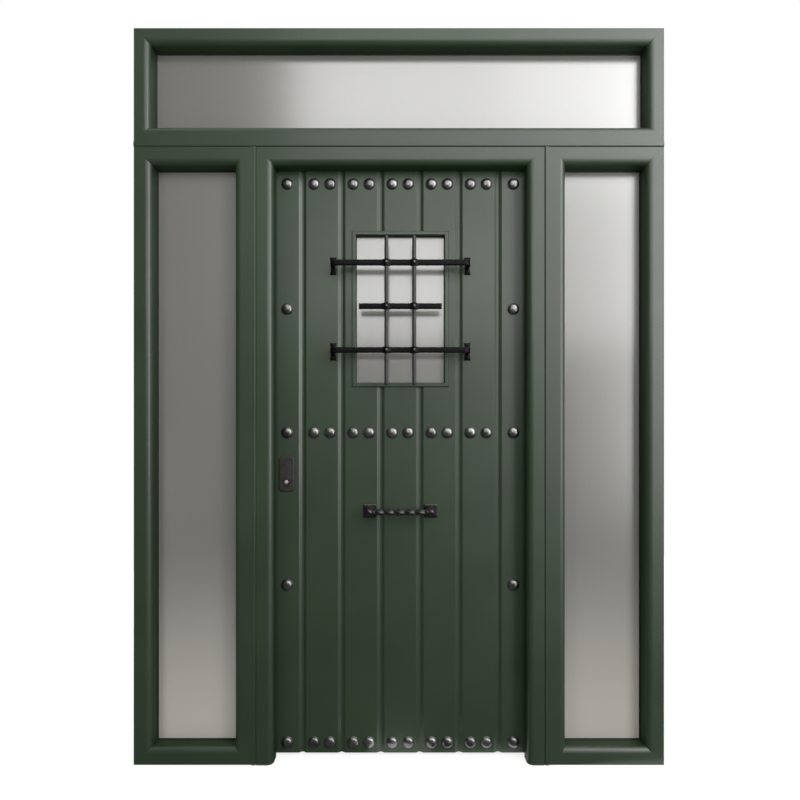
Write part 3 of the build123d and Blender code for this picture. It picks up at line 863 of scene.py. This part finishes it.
def door_seal():
    """D profile along three sides of the doorway, mitred at the corners like the gaskets."""
    x0, x1 = span("lock_jamb")[1][0] - seal_from_sight, span("hinge_jamb")[0][0] + seal_from_sight
    top = span("door_head")[0][2] + seal_from_sight
    t = np.linspace(0, np.pi, 9)
    outset = seal_width * (1 - np.cos(t)) / 2
    depth = stop_y + seal_depth * np.sin(t)
    corner = np.array([[x0, 0.0], [x0, top], [x1, top], [x1, 0.0]])
    outward = np.array([[-1, 0], [-1, 1], [1, 1], [1, 0]])
    flat = corner[:, None, :] + outset[None, :, None] * outward[:, None, :]
    y = np.broadcast_to(depth[None, :], flat.shape[:2])
    return capped(np.stack([flat[..., 0], y, flat[..., 1]], axis=-1))


make_piece("door_seal", [door_seal()], rubber, "frame", 50)

# %% [markdown]
# ## Screws and plug
# Small domed screws hold the hinge flaps, the strike plate and the lock plate in the leaf's edge. The lock
# cylinder has a round plug on each side, the one bright point on the lock.

# %% Set the screws and the plug
screw_radius = 4.2 * MM
screw_rise = 1.6 * MM
flap_thickness = 4 * MM
flap_margin = 10 * MM
flap_screw_shift = 15 * MM
hinge_half_offset = 27.5 * MM
lowest_hinge = 260 * MM
highest_hinge_below_top = 248 * MM
plate_screw_shift = 105 * MM
plug_below_top = 8.5 * MM


def screw_head(place, outward):
    """A domed head on a surface: rings turned about the outward axis, x, -x, y or -y."""
    t = np.linspace(0, 0.49 * np.pi, 5)
    form = lathe(screw_radius * np.cos(t), screw_rise * np.sin(t), round_outline(18))
    axis = np.array(outward, dtype=float)
    side = np.array([0.0, 0.0, 1.0])
    other = np.cross(axis, side)
    turned = form[..., :1] * side + form[..., 1:2] * other + form[..., 2:] * axis
    return capped(turned + np.array(place))


def flap_screws(screw_x, hinge_offset):
    """Two screws on each of the three flaps of one hinge half."""
    flap_face = leaf_back + flap_thickness
    highest_hinge = span("plank_2")[1][2] - highest_hinge_below_top
    hinge_rows = [lowest_hinge, centre("plank_2")[2], highest_hinge]
    return [
        screw_head((screw_x, flap_face, z + hinge_offset + shift), (0, 1, 0))
        for z in hinge_rows
        for shift in (-flap_screw_shift, flap_screw_shift)
    ]


frame_screws = flap_screws(span("hinge_frame_flaps")[1][0] - flap_margin, -hinge_half_offset)
leaf_screws = flap_screws(span("hinge_leaf_flaps")[0][0] + flap_margin, hinge_half_offset)
plate_rows = (-plate_screw_shift, 0.0, plate_screw_shift)
strike_x = span("strike_plate")[1][0]
edge_y = centre("strike_plate")[1]
frame_screws += [screw_head((strike_x, edge_y, lock_z + row), (1, 0, 0)) for row in plate_rows]
edge_plate_x = span("lock_edge_plate")[0][0]
leaf_screws += [screw_head((edge_plate_x, edge_y, lock_z + row), (-1, 0, 0)) for row in plate_rows]
make_piece("frame_screws", frame_screws, zinc_steel, "frame")
make_piece("leaf_screws", leaf_screws, zinc_steel, "leaf")

plug_z = span("lock_cylinder")[1][2] - plug_below_top
outside_face = span("lock_cylinder")[0][1]
inside_face = span("lock_cylinder")[1][1]
plug_radii = np.array([6.6, 6.6, 6.0, 0.4]) * MM
plug_heights = np.array([0, 0.7, 1.2, 1.3]) * MM
plug_form = lathe(plug_radii, plug_heights, round_outline(32))
plug_skins = [
    capped(facing_out(plug_form) + np.array([lock_x, outside_face, plug_z])),
    capped(plug_form[..., [0, 2, 1]] + np.array([lock_x, inside_face, plug_z])),
]
make_piece("cylinder_plugs", plug_skins, nickel, "leaf")

# %% [markdown]
# ## Camera
# The photograph looks straight at the door from a little under shoulder height. Lines that run inwards
# meet at one point, which gives the eye's height and place. The camera stays level and the picture is
# shifted up instead of tilting, which keeps every upright upright.

# %% Set the camera
photo_size = 800
mm_per_pixel = 3.577
horizon_row = 435
eye_column = 400.4
left_edge_column = 133.3
floor_row = 765.5
eye_distance = 2.0
sensor = 36.0

camera_data = bpy.data.cameras.new("photo_camera")
camera_data.sensor_width = sensor
camera_data.lens = sensor * eye_distance / (photo_size * mm_per_pixel * MM)
camera_data.shift_y = (horizon_row - photo_size / 2) / photo_size
camera_data.shift_x = -(eye_column - photo_size / 2) / photo_size
camera = bpy.data.objects.new("photo_camera", camera_data)
bpy.context.scene.collection.objects.link(camera)
bpy.context.scene.camera = camera
camera.location = (
    cad_low.x + (eye_column - left_edge_column) * mm_per_pixel * MM,
    frame_front - eye_distance,
    (floor_row - horizon_row) * mm_per_pixel * MM,
)
camera.rotation_euler = (math.pi / 2, 0, 0)
print("camera at", [round(v, 3) for v in camera.location], "lens", round(camera_data.lens, 2))

# %% [markdown]
# ## Floor and white surround
# The door stands on a white studio floor that runs into a white surround. A floor lit until it is white
# would throw too much light on the door, so it glows a little for the eye, for reflections and through
# glass, and stays a plain pale floor for the light that bounces. Its own shading keeps the shadow.

# %% Lay the floor
floor_radius = 4.0
floor_level = -1 * MM
glow_from = 1.2
glow_to = 3.6


def looked_at(tree):
    """1 for rays from the camera, from a reflection or through glass, and 0 for bounced light."""
    ray = add(tree, "LightPath").outputs
    seen = {0: ray["Is Camera Ray"], 1: ray["Is Glossy Ray"]}
    seen = {0: add(tree, "Math", seen, operation="MAXIMUM").outputs[0], 1: ray["Is Transmission Ray"]}
    return add(tree, "Math", seen, operation="MAXIMUM").outputs[0]


def studio_floor():
    """Pale matt floor with a glow for the eye that grows to full white at the rim."""
    material, tree, place = new_finish("studio_floor")
    distance = add(tree, "VectorMath", {0: place}, operation="LENGTH")
    away = {"Value": distance.outputs["Value"], "From Min": glow_from, "From Max": glow_to}
    glow = add(tree, "MapRange", {**away, "To Min": 0.75, "To Max": 1.0})
    strength = add(tree, "Math", {0: glow.outputs["Result"], 1: looked_at(tree)}, operation="MULTIPLY")
    shine = add(tree, "Emission", {"Strength": strength.outputs[0]})
    matt = add(tree, "BsdfDiffuse", {"Color": linear("#b8b8b6")})
    both = add(tree, "AddShader", {0: shine.outputs[0], 1: matt.outputs[0]})
    add(tree, "OutputMaterial", {"Surface": both.outputs[0]})
    return material


def disc(radius, rings=40, sides=96):
    """Flat disc: rings of growing radius round a middle point, at floor level."""
    radii = np.linspace(0.01, radius, rings)
    form = lathe(radii, np.full(rings, floor_level), round_outline(sides))
    return skin(form, grid_faces(rings, sides), np.arange(sides)[::-1])


make_stage("floor", [disc(floor_radius)], studio_floor())
print("floor of", floor_radius, "m radius")

# %% [markdown]
# ## White world and dark cloth
# The world is white to the eye and dim to the lamps' side of things. A dark glossy door would then mirror
# white from everywhere and lose its depth, so, as in a photographer's studio, a dark cloth hangs in front
# of it. Only reflections see the cloth, so it neither hides the door nor shades it.

# %% Hang the cloth
world = bpy.data.worlds.new("white_surround")
bpy.context.scene.world = world
world.use_nodes = True
world.node_tree.nodes.clear()
ambient = 0.31
lifted = add(
    world.node_tree,
    "MapRange",
    {"Value": looked_at(world.node_tree), "To Min": ambient, "To Max": 1.0},
)
surround = add(world.node_tree, "Background", {"Strength": lifted.outputs["Result"]})
surround.inputs["Color"].default_value = (1, 1, 1, 1)
add(world.node_tree, "OutputWorld", {"Surface": surround.outputs[0]})


def dark_cloth():
    """Black cloth with a faint, even glow: painted light for the little of the room it gives back."""
    material, tree, _ = new_finish("dark_cloth")
    # Painted light: the cloth glows at a fixed strength instead of being lit by the lamps.
    shine = add(tree, "Emission", {"Color": linear("#ffffff"), "Strength": 0.1})
    add(tree, "OutputMaterial", {"Surface": shine.outputs[0]})
    return material


cloth_radius = 6.0
cloth_height = 8.0
cloth_near = 0.12
cloth_lift = 4 * MM
cloth_turn = (-105, 85)


def hung_cloth(columns=48, rows=24):
    """Cloth along the floor and up: distance and height follow a quarter ellipse, carried round an arc."""
    t = np.linspace(0, np.pi / 2, rows)[:, None]
    distance = cloth_near + (cloth_radius - cloth_near) * np.sin(t) ** 0.7
    height = cloth_lift + cloth_height * (1 - np.cos(t)) ** 1.6
    azimuth = np.radians(np.linspace(*cloth_turn, columns))[None, :]
    x = door_x + distance * np.sin(azimuth)
    y = -distance * np.cos(azimuth)
    z = np.broadcast_to(height, x.shape)
    return skin(np.stack([x, y, z], axis=-1), grid_faces(rows, columns, wrap_columns=False))


cloth = make_stage("dark_cloth", [hung_cloth()], dark_cloth())
cloth.visible_camera = False
cloth.visible_diffuse = False
cloth.visible_shadow = False
print("cloth out to", cloth_radius, "m")

# %% [markdown]
# ## Lamps
# The door's sheen says where the lamps were: a very large softbox high in front, brighter above than at
# its lower right, and a standing one to the right that draws the lines along the edges facing it.
# The large one is built of panels that touch. Part of the standing one is for reflections only, or it
# would make the right side too pale. A fill lamp on the left and a small lamp near the camera give soft
# light and short shadows. Power follows from the brightness wanted: power = brightness * pi * area.

# %% Hang the lamps
def softbox(name, place, turn_degrees, width, height, brightness):
    """A rectangular lamp that stands upright and faces inwards, turned about the vertical."""
    lamp = bpy.data.lights.new(name, "AREA")
    lamp.shape = "RECTANGLE"
    lamp.size = width
    lamp.size_y = height
    lamp.energy = brightness * math.pi * width * height
    lamp_object = bpy.data.objects.new(name, lamp)
    bpy.context.scene.collection.objects.link(lamp_object)
    lamp_object.location = place
    lamp_object.rotation_euler = (math.pi / 2, 0, math.radians(turn_degrees))
    return lamp_object


panel_y = -3.6
panels = {
    "upper_left_softbox": (-1.6, 0.6, 3.9, 5.5, 2.7),
    "upper_right_softbox": (0.6, 3.5, 3.9, 6.1, 3.25),
    "middle_left_softbox": (-1.6, 0.6, 3.3, 3.9, 0.9),
    "lower_left_softbox": (-1.6, 0.6, 2.15, 3.3, 2.75),
    "lower_right_softbox": (0.6, 3.5, 2.1, 3.9, 1.2),
}
for name, (x0, x1, z0, z1, brightness) in panels.items():
    softbox(name, ((x0 + x1) / 2, panel_y, (z0 + z1) / 2), 0, x1 - x0, z1 - z0, brightness)

right_stand = {"place": (2.6, -2.82, 3.0), "turn_degrees": 28, "width": 1.35, "height": 5.0}
softbox("right_softbox", **right_stand, brightness=4.0)
edge_light = softbox("edge_softbox", **right_stand, brightness=10.0)
edge_light.visible_diffuse = False
fill_side = 0.8
left_fill = softbox("left_fill", (-2.6, -2.2, 0.7), -30, fill_side, fill_side, 7)
left_fill.visible_glossy = False
front_side = 0.35
front_lamp = softbox("front_lamp", (0.54, -3.3, 1.65), 0, front_side, front_side, 24)
front_lamp.visible_glossy = False
print("lamps", [light.name for light in bpy.data.lights])

# %% [markdown]
# ## Last settings
# The colours are shown as they are, and the box of the dressed door is printed like the box of the model
# at the start, so that both can be compared.

# %% Write the sizes and finish
bpy.context.scene.view_settings.view_transform = "Standard"
low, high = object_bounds()
print("dressed box in mm", [round(side * 1000) for side in high - low])
